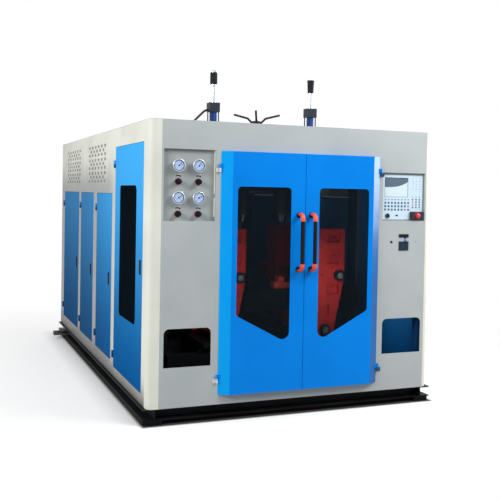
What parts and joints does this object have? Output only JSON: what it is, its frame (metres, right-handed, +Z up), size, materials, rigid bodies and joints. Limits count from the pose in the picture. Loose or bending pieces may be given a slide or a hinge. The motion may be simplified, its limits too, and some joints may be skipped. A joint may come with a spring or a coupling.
{
  "type": "blow moulding machine",
  "caption": "Cabinet-built extrusion blow moulding machine with two clamping stations, blow pins through the roof, glazed front doors, service doors, gauges and a control panel.",
  "frame": {"origin": "on the floor under the centre of the machine's outer box", "axes": "+Z up, the doors face -Y, +X to the right as seen from the front"},
  "size_m": [2.64, 4.28, 2.693],
  "materials": {
    "base_black": "satin black paint on rolled steel",
    "frame_beige": "beige paint on square tube",
    "panel_grey": "satin grey paint on sheet",
    "trim_ivory": "satin ivory paint on sheet",
    "door_blue": "glossy blue paint on sheet",
    "side_blue": "satin blue paint on sheet",
    "dark_glass": "tinted pane",
    "handle_black": "black coated tube with orange ends",
    "hinge_blue": "painted lift-off hinges",
    "gauge_grey": "satin grey paint",
    "gauge_steel": "steel cases with white dials",
    "regulator_red": "red ring on an aluminium body",
    "knob_black": "ribbed black plastic",
    "control_pale": "pale blue keyboard plate",
    "screen_slate": "unlit screen",
    "breaker_slate": "moulded case",
    "toggle_grey": "moulded toggle",
    "stop_red": "red mushroom head",
    "cylinder_blue": "blue barrel between dark blocks with steel tie rods",
    "rod_chrome": "ground and chromed",
    "hose_black": "smooth black hose",
    "bed_grey": "dark grey paint on box section",
    "platen_red": "red paint on castings",
    "bar_steel": "chromed bars with blackened nuts",
    "head_steel": "machined steel",
    "barrel_steel": "heater bands on a steel barrel",
    "drive_blue": "blue-grey paint on a housing",
    "arm_black": "black forged handle"
  },
  "bodies": {
    "machine": {"base_frame": "base_black", "cabinet_frame": "frame_beige", "front_sheet": "panel_grey", "left_corner_column": "trim_ivory", "right_corner_column": "trim_ivory", "left_front_side_sheet": "trim_ivory", "right_front_side_sheet": "trim_ivory", "left_rear_side_sheet": "trim_ivory", "right_rear_side_sheet": "trim_ivory", "left_vent_sheet": "trim_ivory", "right_vent_sheet": "trim_ivory", "roof_sheet": "panel_grey", "rear_sheet": "panel_grey", "hinge_pins": "hinge_blue", "gauge_panel": "gauge_grey", "pressure_gauges": "gauge_steel", "regulator_bodies": "regulator_red", "control_panel": "control_pale", "control_screen": "screen_slate", "main_breaker": "breaker_slate", "left_blow_cylinder": "cylinder_blue", "right_blow_cylinder": "cylinder_blue", "air_hose": "hose_black", "machine_bed": "bed_grey", "die_head": "head_steel", "extruder_barrel": "barrel_steel", "extruder_drive": "drive_blue"},
    "front_left_leaf": {"front_left_door": "door_blue", "front_left_window": "dark_glass", "front_left_handle": "handle_black"},
    "front_right_leaf": {"front_right_door": "door_blue", "front_right_window": "dark_glass", "front_right_handle": "handle_black"},
    "left_leaf_a": {"left_door_a": "side_blue", "left_door_a_window": "dark_glass"},
    "left_leaf_b": {"left_door_b": "side_blue"},
    "left_leaf_c": {"left_door_c": "side_blue"},
    "left_leaf_d": {"left_door_d": "side_blue"},
    "right_leaf_a": {"right_door_a": "side_blue", "right_door_a_window": "dark_glass"},
    "right_leaf_b": {"right_door_b": "side_blue"},
    "right_leaf_c": {"right_door_c": "side_blue"},
    "right_leaf_d": {"right_door_d": "side_blue"},
    "knob_1": {"regulator_knob_1": "knob_black"},
    "knob_2": {"regulator_knob_2": "knob_black"},
    "knob_3": {"regulator_knob_3": "knob_black"},
    "knob_4": {"regulator_knob_4": "knob_black"},
    "stop_button": {"emergency_button": "stop_red"},
    "toggle": {"breaker_toggle": "toggle_grey"},
    "left_rod": {"left_blow_rod": "rod_chrome"},
    "right_rod": {"right_blow_rod": "rod_chrome"},
    "screw_handle": {"adjusting_handle": "arm_black"},
    "left_slide": {"left_carriage": "platen_red"},
    "left_clamp": {"left_front_platen": "platen_red", "left_tie_bars": "bar_steel"},
    "left_moving": {"left_moving_platen": "platen_red"},
    "right_slide": {"right_carriage": "platen_red"},
    "right_clamp": {"right_front_platen": "platen_red", "right_tie_bars": "bar_steel"},
    "right_moving": {"right_moving_platen": "platen_red"}
  },
  "joints": [
    {"name": "front_left_hinge", "type": "hinge", "parent": "machine", "child": "front_left_leaf", "pos_m": [-0.653, -2.019, 0], "axis": [0, 0, -1], "range_deg": [0, 110]},
    {"name": "front_right_hinge", "type": "hinge", "parent": "machine", "child": "front_right_leaf", "pos_m": [0.703, -2.019, 0], "axis": [0, 0, 1], "range_deg": [0, 110]},
    {"name": "left_hinge_a", "type": "hinge", "parent": "machine", "child": "left_leaf_a", "pos_m": [-1.184, -0.84, 0], "axis": [0, 0, -1], "range_deg": [0, 100]},
    {"name": "left_hinge_b", "type": "hinge", "parent": "machine", "child": "left_leaf_b", "pos_m": [-1.184, -0.025, 0], "axis": [0, 0, -1], "range_deg": [0, 100]},
    {"name": "left_hinge_c", "type": "hinge", "parent": "machine", "child": "left_leaf_c", "pos_m": [-1.184, 0.835, 0], "axis": [0, 0, -1], "range_deg": [0, 100]},
    {"name": "left_hinge_d", "type": "hinge", "parent": "machine", "child": "left_leaf_d", "pos_m": [-1.184, 1.94, 0], "axis": [0, 0, -1], "range_deg": [0, 100]},
    {"name": "right_hinge_a", "type": "hinge", "parent": "machine", "child": "right_leaf_a", "pos_m": [1.184, -0.84, 0], "axis": [0, 0, 1], "range_deg": [0, 100]},
    {"name": "right_hinge_b", "type": "hinge", "parent": "machine", "child": "right_leaf_b", "pos_m": [1.184, -0.025, 0], "axis": [0, 0, 1], "range_deg": [0, 100]},
    {"name": "right_hinge_c", "type": "hinge", "parent": "machine", "child": "right_leaf_c", "pos_m": [1.184, 0.835, 0], "axis": [0, 0, 1], "range_deg": [0, 100]},
    {"name": "right_hinge_d", "type": "hinge", "parent": "machine", "child": "right_leaf_d", "pos_m": [1.184, 1.94, 0], "axis": [0, 0, 1], "range_deg": [0, 100]},
    {"name": "knob_turn_1", "type": "hinge", "parent": "machine", "child": "knob_1", "pos_m": [-0.963, -2.01, 1.521], "axis": [0, 1, 0], "range_deg": [-180, 180]},
    {"name": "knob_turn_2", "type": "hinge", "parent": "machine", "child": "knob_2", "pos_m": [-0.811, -2.01, 1.521], "axis": [0, 1, 0], "range_deg": [-180, 180]},
    {"name": "knob_turn_3", "type": "hinge", "parent": "machine", "child": "knob_3", "pos_m": [-0.963, -2.01, 1.755], "axis": [0, 1, 0], "range_deg": [-180, 180]},
    {"name": "knob_turn_4", "type": "hinge", "parent": "machine", "child": "knob_4", "pos_m": [-0.811, -2.01, 1.755], "axis": [0, 1, 0], "range_deg": [-180, 180]},
    {"name": "stop_press", "type": "slide", "parent": "machine", "child": "stop_button", "axis": [0, 1, 0], "range_m": [0, 0.004]},
    {"name": "toggle_tilt", "type": "hinge", "parent": "machine", "child": "toggle", "pos_m": [0.94024, -1.998, 1.32908], "axis": [-1, 0, 0], "range_deg": [0, 40]},
    {"name": "left_blow_stroke", "type": "slide", "parent": "machine", "child": "left_rod", "axis": [0, 0, -1], "range_m": [0, 0.13]},
    {"name": "right_blow_stroke", "type": "slide", "parent": "machine", "child": "right_rod", "axis": [0, 0, -1], "range_m": [0, 0.13]},
    {"name": "handle_turn", "type": "hinge", "parent": "machine", "child": "screw_handle", "pos_m": [0, -1.065, 2.2], "axis": [0, 0, 1], "range_deg": [-180, 180]},
    {"name": "left_carriage_travel", "type": "slide", "parent": "machine", "child": "left_slide", "axis": [1, 0, 0], "range_m": [0, 0.255]},
    {"name": "left_clamp_close", "type": "slide", "parent": "left_slide", "child": "left_clamp", "axis": [0, 1, 0], "range_m": [0, 0.15]},
    {"name": "left_platen_close", "type": "slide", "parent": "left_slide", "child": "left_moving", "axis": [0, -1, 0], "range_m": [0, 0.15]},
    {"name": "right_carriage_travel", "type": "slide", "parent": "machine", "child": "right_slide", "axis": [-1, 0, 0], "range_m": [0, 0.255]},
    {"name": "right_clamp_close", "type": "slide", "parent": "right_slide", "child": "right_clamp", "axis": [0, 1, 0], "range_m": [0, 0.15]},
    {"name": "right_platen_close", "type": "slide", "parent": "right_slide", "child": "right_moving", "axis": [0, -1, 0], "range_m": [0, 0.15]}
  ],
  "couplings": [
    {"joint": "left_platen_close", "follows": "left_clamp_close", "ratio": 1},
    {"joint": "right_platen_close", "follows": "right_clamp_close", "ratio": 1}
  ]
}
